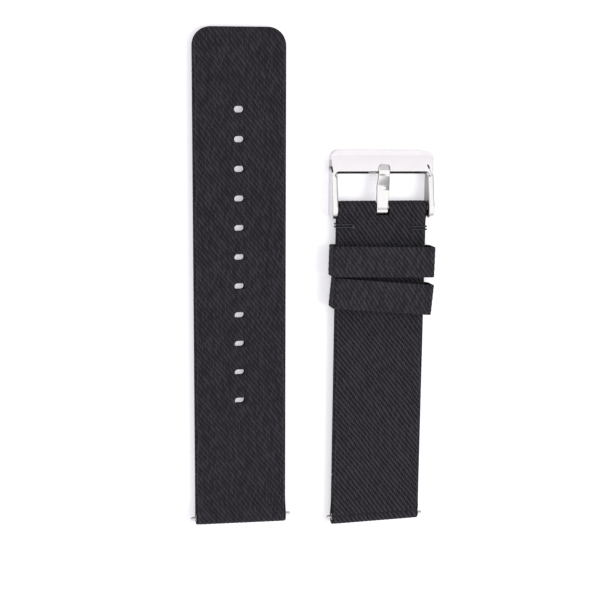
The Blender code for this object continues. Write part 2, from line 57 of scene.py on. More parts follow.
# Camera
CAMERA_PLACE = (-0.07292, 0.04956, 0.32516)
CAMERA_TURN = [math.radians(angle) for angle in (-9.252, -12.171, 0.244)]
CAMERA_LENS = 84
CAMERA_CLIP = (0.01, 20)

# Floor, and how much it glows for the camera and in the metal
FLOOR_REACH = 3
FLOOR_DROP = 0.00002
FLOOR_COLOUR = (0.93, 0.92, 0.94, 1)
GLOW_COLOUR = (1, 0.99, 1, 1)
FLOOR_GLOW = 0.38
METAL_GLOW = 0.17

# Light: an even pale sky, white to the camera, and one soft lamp
SKY_COLOUR = (0.96, 0.95, 1, 1)
SKY_STRENGTH = 0.77
SKY_SEEN = (1, 1, 1, 1)
LAMP_PLACE = (0.42, -0.05, 0.5)
LAMP_SIZE = 0.35
LAMP_POWER = 1.6
# Grey levels that metal mirrors, by a direction's height and by how far it points along a line
SKY_BY_HEIGHT = ((0, 0.44), (0.25, 0.54), (0.45, 0.72), (0.68, 0.95), (0.8, 1), (1, 1))
SKY_ALONG = ((0, 1), (0.7125, 1), (0.73, 0.8), (0.76, 0.48), (0.8, 0.32), (1, 0.4))
SKY_LINE_TURN = math.radians(65)

# The canvas: pitch of its yarns, and how far its ribs stand up
WARP_PITCH = 0.00038
WEFT_PITCH = 0.000473
YARNS_PER_RIB = 3
RIB_DEPTH = 0.00006
RIB_FADE_DEPTH = 0.0004
RIB_EDGE_SHARE = 0.25
RIB_SIDE_SHARE = 1.1
RIBS_ACROSS = 1 / (YARNS_PER_RIB * WARP_PITCH)
RIBS_ALONG = 1 / (YARNS_PER_RIB * WEFT_PITCH)
# How yarns wander: depth, waves in radians per metre along and across the cloth, phase
DRIFT_WAVES = ((0.00012, 310, 170, 0), (0.00007, 860, 0, -1.3))
LAG_WAVES = ((0.0001, 0, 420, 0.7), (0.00009, 530, 240, 0))
# How far a warp yarn's float is drawn together, and how high the wefts stand beside it
FLOAT_FACTOR = 1.45
WEFT_HEIGHT = 0.35
# What the canvas's tone starts from, and how much each thing adds to it: the height adds a painted
# highlight on raised yarns, the grooves painted shade between the ribs
TONE_START = 0.12
HEIGHT_HIGHLIGHT_TONE = 0.36
GROOVE_SHADE_TONE = 0.34
YARN_TONE = 0.28
FIBRE_TONE = 0.3
CLOUD_TONE = 0.16
# Tone of the bands' turned edges, by the distance in from the edge in mm
PLAIN_TONE = 0.2
EDGE_TONES = ((0, 0.03), (0.3, 0.03), (0.44, 0.42), (0.66, 0.42), (0.82, PLAIN_TONE), (1, PLAIN_TONE))
# Tones, and the share of a material's colour that each gets
TWILL_SHADES = ((0.12, 0.22), (0.55, 0.95), (0.95, 2.5))
FELT_SHADES = ((0.3, 0.6), (0.7, 1.5))
THREAD_SHADES = ((0.25, 0.5), (0.6, 1), (0.85, 3.2))
STEEL_SHADES = ((0.3, 0.97), (0.7, 1))
# How far the grain of a steel surface is stretched along each axis
BRUSHED_ACROSS = (160.0, 9000.0, 160.0)
BRUSHED_ALONG = (9000.0, 160.0, 160.0)
SHEARED_GRAIN = (300.0, 300.0, 4000.0)
DRAWN_GRAIN = (200.0, 6000.0, 6000.0)

# Layers of the bands
CLOTH_STEP = 0.0002
EDGE_OFFSETS = [share * MM for share in (0, 0.02, 0.07, 0.15, 0.25, 0.35, 0.48, 0.58, 0.68, 0.78, 0.92)]
FACE_THICKNESS = 0.0007
LINING_THICKNESS = 0.0007
GLUE_LINE = 0.00005
BAR_CLEARANCE = 0.00005
BAR_RADIUS = 0.00075
BORE_RADIUS = BAR_RADIUS + BAR_CLEARANCE
LUG_FLAP = 0.0105
BUCKLE_FLAP = 0.0145
BUTT_GAP = 0.0003
LUG_RAMP = 0.005
BUCKLE_RAMP = 0.0035
TIP_RADIUS = 0.0043
TIP_ANGLES = np.radians(np.linspace(0, 88, 30))
EDGE_ROUND = 0.00035
CREASE_INSET = 0.00068
CREASE_WIDTH = 0.00013
CREASE_DEPTH = 0.00007
# The turned edges: how far they reach below the cloth, in under it, and where that begins
TURNED_EDGE = 0.00045
TURNED_WIDTH = 0.00012
TURNED_BEVEL = 0.00003
TURN_START = 0.0055
TURN_RAMP = 0.003
FACE_LIP = 0.00002
PLAIN_LIP = 0.00001

CORE_THICKNESS = 0.0005
CORE_INSET = 0.0002
CORE_SETBACK = 0.0022
CORE_EDGE = 0.00005
CORE_STEP = 0.0008

# The lug folds: a pressed line behind the bar, and for each band a skew in degrees and a
# shift, which fade out along it
FOLD_CREASE_PLACE = 0.0023
FOLD_CREASE_WIDTH = 0.0003
LONG_CREASE = 0.00007
SHORT_CREASE = 0.00034
LONG_FOLD = (-1.05, -0.00022)
SHORT_FOLD = (1.45, -0.00008)
FADE_START = 0.002
FADE_LENGTH = 0.012

# Holes of the long band, and how far each layer reaches in at their left and right
HOLE_COUNT = 11
HOLE_PITCH = 0.00693
FIRST_HOLE = 0.0303
HOLE_LENGTH = 0.0032
HOLE_WIDTH = 0.0015
FACE_HOLE_ENDS = (0.0002, 0)
CORE_HOLE_ENDS = (0.0001, 0.00032)
LINING_HOLE_ENDS = (0, 0.00055)
CUTTER_HEIGHTS = (-0.001, 0.004)

# The short band's slot for the tongue, through its upper and its lower layer
SLOT_WIDTH = 0.00335
UPPER_SLOT = 0.002
LOWER_SLOT = 0.00175
SLOT_OVERLAP = 0.0004
SLOT_OVERRUN = 0.003
SLOT_TOP = 0.006

# Keeper loops, each with its skew in degrees and the gap beside the band
KEEPER_WALL = 0.0006
KEEPER_LENGTH = 0.0074
KEEPER_CORNER = 0.0005
KEEPER_EDGE = 0.00028
KEEPER_CREASE = 0.00003
FIXED_KEEPER = (-1.1, 0.00113)
FREE_KEEPER = (-4.9, 0.0008)

# Tack stitches, and the bead at the end of one
LEFT_TACK_SETBACK = 0.0045
RIGHT_TACK_SETBACK = 0.00515
TACK_LENGTH = 0.0039
TACK_SPACING = 0.0007
THREAD_GAP = 0.00005
THREAD_TAIL = 0.0014
THREAD_BEND = 0.0003
THREAD_STEP = 0.00008
THREAD_RADIUS = 0.00017
THREAD_SIDES = 12
THREAD_PLIES = 2
THREAD_LOBE_SHARE = 0.2
THREAD_TWIST = 0.0011
FIRST_SIDE = (0.3, 1, 0.2)
BEAD_RADIUS = 0.0003
BEAD_STRETCH = (1.1, 1.5, 0.8)
BEAD_SETBACK = 0.0003
BEAD_RISE = 0.2

# Buckle frame, measured from the axis of its spring bar
ARM_END_RADIUS = 0.0023
ARM_OVERHANG = 0.00055
WINDOW_HALF = 0.01115
FRAME_HALF = 0.01265
FRAME_CORNER = 0.0021
ARM_PINCH = 0.35
PINCH_LENGTH = 0.0007
ARM_SPAN = 0.002
ARM_END_ROWS = 19
ARM_ROWS = 28
WINDOW_CORNER = 0.0005
PLATE_START = 0.00788
PLATE_WIDTH = 0.00562
PLATE_STOP = PLATE_START + PLATE_WIDTH
PLATE_START_Z = 0.0029
PLATE_STOP_Z = 0.00205
PLATE_CROWN = 0.00007
CHAMFER_WIDTH = 0.00076
CHAMFER_DROP = 0.00078
CHAMFER_SOFT = 0.0001
CHAMFER_LIP = 0.00004
CHAMFER_FADE = 0.0006
FRAME_ROUND = 0.0004
UNDER_ROUND = 0.00025
ROUND_SPARE = 0.00002
LEAST_THICKNESS = 0.00001
SATIN_INSET = 0.00095
SATIN_RIM = 0.00012
WALL_INSET = 0.00006
SHARP_ANGLE = math.radians(50)
FRAME_SHARP = math.radians(60)
# Places in from either edge of the frame, and shares of the way between them
FRAME_OFFSETS = [share * MM for share in (0, 0.01, 0.04, 0.09, 0.16, 0.24, 0.35, 0.48, 0.62, 0.76, 0.9)]
OFFSET_SPARE = 0.0001
FRAME_SHARES = np.linspace(0, 1, 43)[1:-1]
# Painted shade in the creases at the arms' necks, standing in for their dark reflections: two ends, a
# half width, a strength
NECK_SHADE_LINES = (((-12.56, 9.5), (-12.4, 8.35), 0.24, 1), ((-12.62, 11.1), (-12.6, 9.6), 0.12, 0.35),
              ((11.12, 9.9), (11.42, 9.25), 0.26, 1), ((11.42, 9.25), (12.1, 7.4), 0.14, 0.3))
NECK_SHADE_COLOUR = (0.02, 0.017, 0.02, 1)

# The notch that the tongue's tip lies in, and places across its walls in mm
NOTCH_WIDTH = 0.00285
NOTCH_MIDDLE = 0.0003
NOTCH_DEPTH = 0.00064
NOTCH_END_GAP = 0.00003
NOTCH_SOFT = 0.00006
NOTCH_WALL = (-0.18, -0.1, -0.05, -0.02, 0.01, 0.04, 0.08, 0.14, 0.25)
WALL_OUTSIDE = 0.0003
WALL_INSIDE = 0.0004
NOTCH_COLUMNS = 11
PLATE_COLUMNS = 36

# Tongue, measured from the axis of the same bar
TONGUE_THICKNESS = 0.0007
TONGUE_REACH = 0.0101
TIP_LENGTH = 0.0027
TIP_CLEARANCE = 0.00005
TIP_CORNER = 0.00095
TONGUE_TIP_ANGLES = np.radians(np.linspace(0, 86, 14))
TONGUE_CURL = (-20, -270)
TONGUE_ROUND = 0.00015
LEAST_ROUND = 0.1
TONGUE_STEP = 0.00008
FLAT_SHARES = np.linspace(1, -1, 13)[1:-1]
HEEL_ROUND = 0.0006
TONGUE_CROWN = 0.00013
TONGUE_TWIST = 0.00015
SIDE_SHARE = 0.75
BOW_START = 0.0039
BOW_RISE = 0.0012
BOW_STOP = 0.0083
BOW_FALL = 0.0011
TIP_BEND_PLACE = 0.0087
TIP_BEND_SLOPE = 0.265
HEEL_LINE_PLACE = -0.00021
HEEL_LINE_WIDTH = 0.00014
HEEL_LINE_DEPTH = 0.00014
# The tongue's two long edges, against places along it, all in mm
TONGUE_PLACES = (0.8, 1.8, 3.6, 4.9, 5.8, 6.8, 7.7, 10.1)
TONGUE_LEFT = (-1.58, -1.65, -1.67, -1.65, -1.46, -1.23, -1.08, -1.07)
TONGUE_RIGHT = (1.12, 1.26, 1.36, 1.52, 1.62, 1.7, 1.7, 1.67)
# How steeply its slope falls, in degrees, against places along it in mm
SLOPE_POINTS = 84
SLOPE_PLACES = (3.8, 3.9, 4.1, 4.35, 4.5, 4.65, 4.9, 5.4, 6, 6.6, 7, 7.3, 7.45, 7.6, 7.8, 7.95)
SLOPE_ANGLES = (0, 15, 17, 11, 8, 9, 15, 19.5, 18.5, 17, 15.5, 15, 16, 19, 17, 0)

LOOP_RADIUS = BORE_RADIUS + FACE_THICKNESS / 2
FOLD_RADIUS = BORE_RADIUS + FACE_THICKNESS
LUG_AXIS = (FOLD_RADIUS, FOLD_RADIUS)
LINING_START = LUG_AXIS[0] + LUG_FLAP + BUTT_GAP
CORE_START = LUG_AXIS[0] + CORE_SETBACK


def joint(name):
    return next(j for j in frame["joints"] if j["name"] == name)


def half_matrix(bar_joint):
    """A half's own frame, found from the joint of the spring bar in its lug fold."""
    found = joint(bar_joint)
    across, up = Vector(found["axis"]), Vector((0, 0, 1))
    along = up.cross(across)
    origin = Vector(found["pos_m"]) - along * FOLD_RADIUS
    origin.z = 0
    return Matrix.Translation(origin) @ Matrix((across, along, up)).transposed().to_4x4()


LONG_HALF = half_matrix("long_lug_bar_spin")
SHORT_HALF = half_matrix("short_lug_bar_spin")
BUCKLE_AXIS = SHORT_HALF.inverted() @ Vector(joint("buckle_swing")["pos_m"])
BUCKLE_MATRIX = SHORT_HALF @ Matrix.Translation(BUCKLE_AXIS)
LONG_LOW, LONG_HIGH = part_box("long_face")
HALF_WIDTH = (LONG_HIGH.x - LONG_LOW.x) / 2
LONG_LENGTH = LONG_HIGH.y - LONG_LOW.y
LONG_CORE_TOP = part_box("long_core")[1].z
SHORT_CORE_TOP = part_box("short_core")[1].z
SHORT_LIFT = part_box("short_lining")[0].z
SHORT_TOP = SHORT_CORE_TOP + GLUE_LINE + FACE_THICKNESS


def smooth(share):
    """A soft step from 0 to 1."""
    share = np.clip(share, 0, 1)
    return share * share * (3 - 2 * share)


class Nodes:
    """Short calls that make and join the nodes of a material, or of the world."""

    def __init__(self, owner, cleared=False):
        owner.use_nodes = True
        self.owner = owner
        self.tree = owner.node_tree
        if cleared:
            self.tree.nodes.clear()

    def feed(self, node, sockets):
        """Feeds a node's sockets, from a list in their order or a dictionary of names."""
        named = sockets.items() if isinstance(sockets, dict) else enumerate(sockets)
        for key, value in named:
            if isinstance(value, bpy.types.NodeSocket):
                self.tree.links.new(value, node.inputs[key])
            else:
                node.inputs[key].default_value = value

    def node(self, kind, sockets=(), **settings):
        """The outputs of a new node."""
        made = self.tree.nodes.new(f"ShaderNode{kind}")
        for key, value in settings.items():
            setattr(made, key, value)
        self.feed(made, sockets)
        return made.outputs

    def surface(self, sockets):
        self.feed(self.tree.nodes["Principled BSDF"], sockets)

    def math(self, operation, *values):
        return self.node("Math", values, operation=operation)[0]

    def times(self, first, second):
        return self.math("MULTIPLY", first, second)

    def line(self, value, slope, start):
        """A start, and the value times a slope added to it."""
        return self.math("MULTIPLY_ADD", value, slope, start)

    def arch(self, share):
        """Half a wave over a share from 0 to 1."""
        return self.math("SINE", self.times(share, math.pi))

    def noise(self, vector, scale=1.0, detail=3.0, roughness=0.5, stretch=None):
        if stretch:
            vector = self.node("Mapping", {"Vector": vector, "Scale": stretch})[0]
        sockets = {"Vector": vector, "Scale": scale, "Detail": detail, "Roughness": roughness}
        return self.node("TexNoise", sockets)["Fac"]

    def scatter(self, first, second):
        """A number from 0 to 1 for each pair of whole numbers."""
        pair = self.node("CombineXYZ", [first, second])[0]
        return self.node("TexWhiteNoise", {"Vector": pair}, noise_dimensions="2D")["Value"]

    def ramp(self, value, stops, colour=(1, 1, 1)):
        """A colour ramp with shares of one colour at its stops."""
        made = self.node("ValToRGB", [value])[0]
        points = made.node.color_ramp.elements
        while len(points) < len(stops):
            points.new(0.5)
        for point, (place, share) in zip(points, stops):
            point.position = place
            point.color = (*[part * share for part in colour], 1)
        return made

    def bump(self, height, distance, strength=1.0):
        sockets = {"Strength": strength, "Distance": distance, "Height": height}
        self.surface({"Normal": self.node("Bump", sockets)[0]})


def twill_material(name, colour, groove_shade_share=1.0, half_width=None):
    """Black twill: warp yarns that float over two wefts, stepped into ribs.

    The UV map holds the place on the cloth in millimetres. A half width gives the cloth
    its turned edges: a little darker, with a lighter line beside them.
    """
    nodes = Nodes(bpy.data.materials.new(name))
    place = nodes.node("UVMap", uv_map="weave")[0]
    x, y = nodes.node("SeparateXYZ", [place])[:2]
    across = nodes.math("DIVIDE", x, WARP_PITCH / MM)
    along = nodes.math("DIVIDE", y, YARNS_PER_RIB * WEFT_PITCH / MM)
    warp = nodes.math("FLOOR", across)
    turn = nodes.math("ADD", along, nodes.math("DIVIDE", warp, YARNS_PER_RIB))
    over = nodes.times(nodes.math("FRACT", turn), FLOAT_FACTOR)
    raised = nodes.arch(nodes.math("MINIMUM", over, 1.0))
    warp_height = nodes.times(raised, nodes.arch(nodes.math("FRACT", across)))
    weft_share = nodes.math("FRACT", nodes.times(along, YARNS_PER_RIB))
    weft = nodes.times(nodes.math("SUBTRACT", 1.0, raised), nodes.arch(weft_share))
    height = nodes.math("MAXIMUM", warp_height, nodes.times(weft, WEFT_HEIGHT))

    wave = nodes.arch(turn)
    groove_shade = nodes.times(wave, wave)
    yarn = nodes.scatter(warp, nodes.math("FLOOR", turn))
    fibre = nodes.noise(place, scale=1.6, roughness=0.65, stretch=(9.0, 2.2, 1.0))
    cloud = nodes.noise(place, scale=0.22, detail=2.0)
    speck = nodes.noise(place, scale=3.2, detail=1.0)
    # Painted light: raised yarns get a painted highlight and the grooves between ribs get painted shade;
    # yarn, fibre and cloud are tone that differs at random.
    tone = nodes.line(height, HEIGHT_HIGHLIGHT_TONE, TONE_START - GROOVE_SHADE_TONE / 2 * groove_shade_share)
    for part, added in ((groove_shade, GROOVE_SHADE_TONE * groove_shade_share), (yarn, YARN_TONE),
                        (fibre, FIBRE_TONE), (cloud, CLOUD_TONE)):
        tone = nodes.line(part, added, tone)
    if half_width:
        inset = nodes.math("SUBTRACT", half_width / MM, nodes.math("ABSOLUTE", x))
        edge = nodes.math("SUBTRACT", nodes.ramp(inset, EDGE_TONES), PLAIN_TONE)
        tone = nodes.math("ADD", tone, edge)
    nodes.surface({"Base Color": nodes.ramp(tone, TWILL_SHADES, colour),
                   "Roughness": nodes.line(speck, slope=0.2, start=0.72),
                   "Specular IOR Level": 0.16, "Sheen Weight": 0.03, "Sheen Roughness": 0.5})
    nodes.bump(nodes.line(fibre, slope=0.25, start=height), distance=0.00008, strength=0.9)
    return nodes.owner


def felt_material(name, colour):
    """The stiff interlining: short fibres pressed flat."""
    nodes = Nodes(bpy.data.materials.new(name))
    place = nodes.node("TexCoord")["Object"]
    fibre = nodes.noise(place, detail=4.0, roughness=0.7, stretch=(900.0, 2600.0, 900.0))
    nodes.surface({"Base Color": nodes.ramp(fibre, FELT_SHADES, colour), "Roughness": 0.95})
    nodes.bump(fibre, distance=0.00005)
    return nodes.owner


def thread_material(name, colour):
    """Waxed thread: fine fibres that follow the twist of its two plies."""
    nodes = Nodes(bpy.data.materials.new(name))
    place = nodes.node("UVMap", uv_map="weave")[0]
    fibre = nodes.noise(place, roughness=0.6, stretch=(14.0, 3.0, 1.0))
    nodes.surface({"Base Color": nodes.ramp(fibre, THREAD_SHADES, colour),
                   "Roughness": nodes.line(fibre, slope=0.3, start=0.35)})
    nodes.bump(fibre, distance=0.00003)
    return nodes.owner


def neck_shade(nodes, place):
    """How much painted shade the arms' necks get: lines, seen from above, that fade to the side."""
    dark = 0.0
    for *ends, reach, strength in NECK_SHADE_LINES:
        start, end = [BUCKLE_MATRIX @ Vector((x * MM, y * MM, -BUCKLE_AXIS.z)) for x, y in ends]
        direction = (end - start).normalized()
        flat = nodes.node("VectorMath", [place, (1, 1, 0), -start], operation="MULTIPLY_ADD")[0]
        along = nodes.node("VectorMath", [flat, direction], operation="DOT_PRODUCT")["Value"]
        held = nodes.math("MINIMUM", nodes.math("MAXIMUM", along, 0.0), (end - start).length)
        nearest = nodes.node("VectorMath", {"Vector": direction, "Scale": held}, operation="SCALE")[0]
        distance = nodes.node("VectorMath", [flat, nearest], operation="DISTANCE")["Value"]
        values = [distance, -2 / (reach * MM), 2.0]
        share = nodes.node("Math", values, operation="MULTIPLY_ADD", use_clamp=True)[0]
        dark = nodes.math("MAXIMUM", dark, nodes.times(share, strength))
    return dark


def steel_material(name, colour, roughness, brush, grain, necks=False):
    """Steel with fine brush lines along one axis, and faint wear; with necks, painted shade at the arms'
    necks.
    """
    nodes = Nodes(bpy.data.materials.new(name))
    place = nodes.node("TexCoord")["Object"]
    lines = nodes.noise(place, roughness=0.6, stretch=grain)
    wear = nodes.noise(place, scale=420.0, roughness=0.6)
    base = nodes.ramp(wear, STEEL_SHADES, colour)
    if necks:
        # Painted shade: the neck lines darken the base colour where the creases at the arms' necks fall
        # into shade.
        sockets = {"Factor": neck_shade(nodes, place), "A": base, "B": NECK_SHADE_COLOUR}
        base = nodes.node("Mix", sockets, data_type="RGBA")["Result"]
    nodes.surface({"Base Color": base, "Metallic": 1.0,
                   "Roughness": nodes.line(lines, brush, roughness)})
    nodes.bump(lines, distance=0.000006, strength=0.5)
    return nodes.owner


def rib_height(across, along):
    """Relief of the twill's ribs, from 0 to 1, at a place on the cloth."""
    return 0.5 + 0.5 * np.cos(2 * math.pi * (across * RIBS_ACROSS + along * RIBS_ALONG))


def slack(across, along):
    """Where a place on the cloth comes to lie, as its yarns wander from straight lines."""
    drift, lag = [sum(depth * np.sin(along * forward + across * sideways + phase)
                      for depth, forward, sideways, phase in waves) for waves in (DRIFT_WAVES, LAG_WAVES)]
    return across + drift, along + lag


def even_places(start, stop, step):
    """Places from start to stop, as near to a step apart as goes evenly."""
    return np.linspace(start, stop, int(round((stop - start) / step)) + 1)


def line_lengths(points):
    """Distance of each point along its polyline."""
    steps = np.diff(np.array(points, float), axis=0)
    return np.concatenate([[0], np.cumsum(np.linalg.norm(steps, axis=1))])


def points_at(line, places):
    """Points of a polyline at distances along it."""
    lengths = line_lengths(line)
    return np.stack([np.interp(places, lengths, column) for column in np.array(line, float).T], axis=1)


def left_normals(tangents):
    """Unit normals to the left of tangents in a plane."""
    tangents = tangents / np.linalg.norm(tangents, axis=1)[:, None]
    return np.stack([-tangents[:, 1], tangents[:, 0]], axis=1)


def stations_at(line, places):
    """Places on a polyline: points, unit normals to its left, and distances."""
    found = points_at(line, places)
    return found, left_normals(np.gradient(found, places, axis=0)), places


def flat_stations(places, height, down=False):
    """Stations of a flat layer that faces up, or down."""
    points = np.stack([places, np.full_like(places, height)], axis=1)
    return points, np.tile((0.0, -1.0 if down else 1.0), (len(places), 1)), places


def ease_points(start, stop, steps=24):
    """Points of a soft S from one height to another."""
    shares = np.linspace(0, 1, steps + 1)
    heights = start[1] + (stop[1] - start[1]) * smooth(shares)
    return list(zip(start[0] + (stop[0] - start[0]) * shares, heights))


def arc_points(centre, radius, start, stop, steps=48):
    """Points of an arc between two angles in degrees."""
    angles = np.radians(np.linspace(start, stop, steps + 1))
    return list(zip(centre[0] + radius * np.cos(angles), centre[1] + radius * np.sin(angles)))


def add_object(name, data):
    made = bpy.data.objects.new(name, data)
    bpy.context.scene.collection.objects.link(made)
    return made


def new_piece(name, vertices, faces, weave, material, matrix):
    """A closed mesh piece whose UV map holds places on the cloth in millimetres."""
    data = bpy.data.meshes.new(name)
    data.from_pydata(vertices, [], faces)
    layer = data.uv_layers.new(name="weave")
    corners = np.zeros(len(data.loops), np.int32)
    data.loops.foreach_get("vertex_index", corners)
    layer.data.foreach_set("uv", (np.array(weave)[corners] / MM).astype(np.float32).ravel())
    data.transform(matrix)
    mesh = bmesh.new()
    mesh.from_mesh(data)
    bmesh.ops.recalc_face_normals(mesh, faces=mesh.faces)
    mesh.to_mesh(data)
    mesh.free()
    data.shade_smooth()
    data.materials.append(material)
    return add_object(name, data)


def finish_piece(piece, body, node):
    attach(piece, body)
    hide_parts(node)


def finish_band(half, *layers):
    """Joins a band's face, lining and core to its half."""
    for layer, kind in zip(layers, ("face", "lining", "core")):
        finish_piece(layer, f"{half}_half", f"{half}_{kind}")


def ring_faces(rows, columns, closed=False):
    """Quads between rows of closed rings, with end caps if the rows don't close."""
    ring = np.arange(rows * columns).reshape(rows, columns)
    after = np.roll(ring, -1, axis=0)
    quads = np.stack([ring, np.roll(ring, -1, axis=1), np.roll(after, -1, axis=1), after], axis=2)
    if closed:
        return quads.reshape(-1, 4).tolist()
    return [*quads[:-1].reshape(-1, 4).tolist(), ring[0, ::-1].tolist(), ring[-1].tolist()]


def swept_piece(name, rows, weave, material, matrix, loop=False):
    """A piece swept through rows of closed rings."""
    faces = ring_faces(len(rows), len(rows[0]), loop)
    return new_piece(name, np.concatenate(rows), faces, np.concatenate(weave), material, matrix)


def prisms(outlines, low, high, matrix):
    """One closed body to cut with: an upright prism over each outline."""
    vertices, faces = [], []
    for outline in outlines:
        first = len(vertices)
        faces += [[first + corner for corner in face] for face in ring_faces(2, len(outline))]
        vertices += [(x, y, z) for z in (low, high) for x, y in outline]
    data = bpy.data.meshes.new("cutter")
    data.from_pydata(vertices, [], faces)
    data.transform(matrix)
    return data


def hole_outlines(left_in, right_in):
    """Outlines of a layer's adjustment holes, drawn in at either end."""
    radius = HOLE_WIDTH / 2
    straight = HOLE_LENGTH / 2 - radius
    for y in FIRST_HOLE + HOLE_PITCH * np.arange(HOLE_COUNT):
        right = arc_points((straight - right_in, y), radius, -90, 90, steps=12)
        yield right + arc_points((left_in - straight, y), radius, 90, 270, steps=12)


def cut(piece, data):
    """Cuts a piece with a cutter's mesh, and keeps the result as its mesh."""
    cutter = add_object("cutter", data)
    modifier = piece.modifiers.new("cut", "BOOLEAN")
    modifier.object = cutter
    modifier.solver = "EXACT"
    modifier.operation = "DIFFERENCE"
    graph = bpy.context.evaluated_depsgraph_get()
    result = bpy.data.meshes.new_from_object(piece.evaluated_get(graph))
    result.name = piece.name
    piece.modifiers.clear()
    piece.data = result
    bpy.data.objects.remove(cutter, do_unlink=True)
    result.set_sharp_from_angle(angle=SHARP_ANGLE)


def rounding(distance, radius):
    """How far a rounded edge has dropped, by the distance in from the edge."""
    inside = np.clip(radius - distance, 0, radius)
    return radius - np.sqrt(radius ** 2 - inside ** 2)


def tip_depth(across, width, end):
    """Distance in from the rounded outline of the long band's tip."""
    beside, beyond = np.abs(across) - (HALF_WIDTH - TIP_RADIUS), TIP_RADIUS - end
    to_arc = TIP_RADIUS - np.hypot(beside, beyond)
    to_side = np.minimum(width - np.abs(across), end)
    return np.clip(np.where((beside > 0) & (beyond > 0), to_arc, to_side), 0, None)


def lip_reach(along, stop):
    """How far a face's turned edges reach below it, from the lug fold to a stop."""
    rise = smooth((along - TURN_START) / TURN_RAMP) * smooth((stop - along) / TURN_RAMP)
    return FACE_LIP + TURNED_EDGE * rise


def fold_slip(x, y, skew, shift):
    """How far an askew lug fold has moved a point along its band."""
    slope = math.tan(math.radians(skew))
    return (slope * x + shift) * (1 - smooth((y - FADE_START) / FADE_LENGTH))


def cloth(name, stations, half_width, thickness, material, matrix, plan=None, lip_stop=None,
          fold=None, start=0.0, loop=False, relief=RIB_DEPTH, crease=CREASE_DEPTH,
          edge=EDGE_ROUND, mirror=1, step=CLOTH_STEP):
    """A thick cloth swept along stations in a plane square to its width.

    stations are points, normals and distances. plan gives the half width and the
    distance to the end for a place along, lip_stop says where the turned edges below the
    cloth stop, and fold how its lug fold is skewed. A loop is closed, in the X-Z plane.
    """
    points, normals, places = stations
    along = places - start
    inner = half_width - EDGE_OFFSETS[-1]
    rim = half_width - np.array(EDGE_OFFSETS[:-1])
    base = np.concatenate([-rim, even_places(-inner, inner, step), rim[::-1]])
    widths, ends = plan(along) if plan else (np.full(len(along), half_width), np.ones(len(along)))
    lips = lip_reach(along, lip_stop) if lip_stop else np.full(len(along), PLAIN_LIP)

    def spot(across, place):
        """Where a point of this piece lies on its cloth."""
        place = np.full_like(across, place)
        return slack(place, across) if loop else slack(across * mirror, place)

    vertices, weave = [], []
    for point, normal, place, w, end, lip in zip(points, normals, along, widths, ends, lips):
        squeeze = (w - EDGE_OFFSETS[-1]) / inner
        a = np.where(np.abs(base) <= inner, base * squeeze, base + np.sign(base) * (w - half_width))
        depth = tip_depth(a, w, end)
        b = thickness / 2 - rounding(depth, edge)
        ribbed = RIB_EDGE_SHARE + (1 - RIB_EDGE_SHARE) * smooth(depth / RIB_FADE_DEPTH)
        b += relief * (rib_height(*spot(a, place)) - 1) * ribbed
        b -= crease * np.exp(-((depth - CREASE_INSET) / CREASE_WIDTH) ** 2)
        side, foot = thickness / 2 - edge, -thickness / 2 - lip
        b[0] = b[-1] = min(side, b[1], b[-2])
        sunk = relief * RIB_SIDE_SHARE * (rib_height(*spot(np.array([-w, w]), place)) - 1)
        left, right = -w - sunk[0], w + sunk[1]
        under, low = w - TURNED_WIDTH, side - foot
        x = np.concatenate([[left], a[1:-1], [right, right, right - TURNED_BEVEL, under, under],
                            [-under, -under, left + TURNED_BEVEL, left]])
        drop = [(side + foot) / 2, foot, foot, -thickness / 2]
        z = np.concatenate([b, drop, drop[::-1]])
        turned = np.array([w + low / 2, w + low, w + low + TURNED_WIDTH, under])
        on_cloth = np.concatenate([a, turned, -turned[::-1]])
        forward, up = point[0] + normal[0] * z, point[1] + normal[1] * z
        if fold:
            forward = forward + fold_slip(x, point[0], *fold)
        vertices.append(np.stack((forward, x, up) if loop else (x, forward, up), axis=1))
        weave.append(np.stack(spot(on_cloth, place), axis=1))
    return swept_piece(name, vertices, weave, material, matrix, loop)


def fold_points(axis, outward, ramp, face_z, flap_z, flap_length):
    """Middle line of the face from its top, round a spring bar and back under."""
    y, z = axis
    ramp_y = y - outward * ramp
    points = ease_points((ramp_y, face_z), (y, z + LOOP_RADIUS))[:-1]
    points += arc_points(axis, LOOP_RADIUS, 90, 90 - outward * 180)
    points += ease_points((y, z - LOOP_RADIUS), (ramp_y, flap_z))[1:]
    return points + [(y - outward * flap_length, flap_z)]


def lug_fold(face_z, flap_z, crease_depth):
    """Middle line of the face round its lug bar, with a line pressed in behind the bar."""
    made = []
    for y, z in fold_points(LUG_AXIS, -1, LUG_RAMP, face_z, flap_z, LUG_FLAP)[::-1]:
        if z > LUG_AXIS[1]:
            z -= crease_depth * math.exp(-((y - FOLD_CREASE_PLACE) / FOLD_CREASE_WIDTH) ** 2)
        made.append((y, z))
    return made


def tip_plan(along):
    """Half width at a place along the long band, and the distance to its tip."""
    ends = np.clip(LONG_LENGTH - along, 0, None)
    inside = np.clip(TIP_RADIUS - ends, 0, TIP_RADIUS)
    widths = HALF_WIDTH - TIP_RADIUS + np.sqrt(TIP_RADIUS ** 2 - inside ** 2)
    return widths, ends


def core_plan(along):
    """The tip's plan, set in by the core's inset."""
    widths, ends = tip_plan(along + CORE_INSET)
    return widths - CORE_INSET, ends


def tip_places(start, stop):
    """Even steps along the band, closing up round its tip."""
    straight = np.arange(start, stop - TIP_RADIUS, CLOTH_STEP)
    return np.concatenate([straight, stop - TIP_RADIUS + TIP_RADIUS * np.sin(TIP_ANGLES), [stop]])


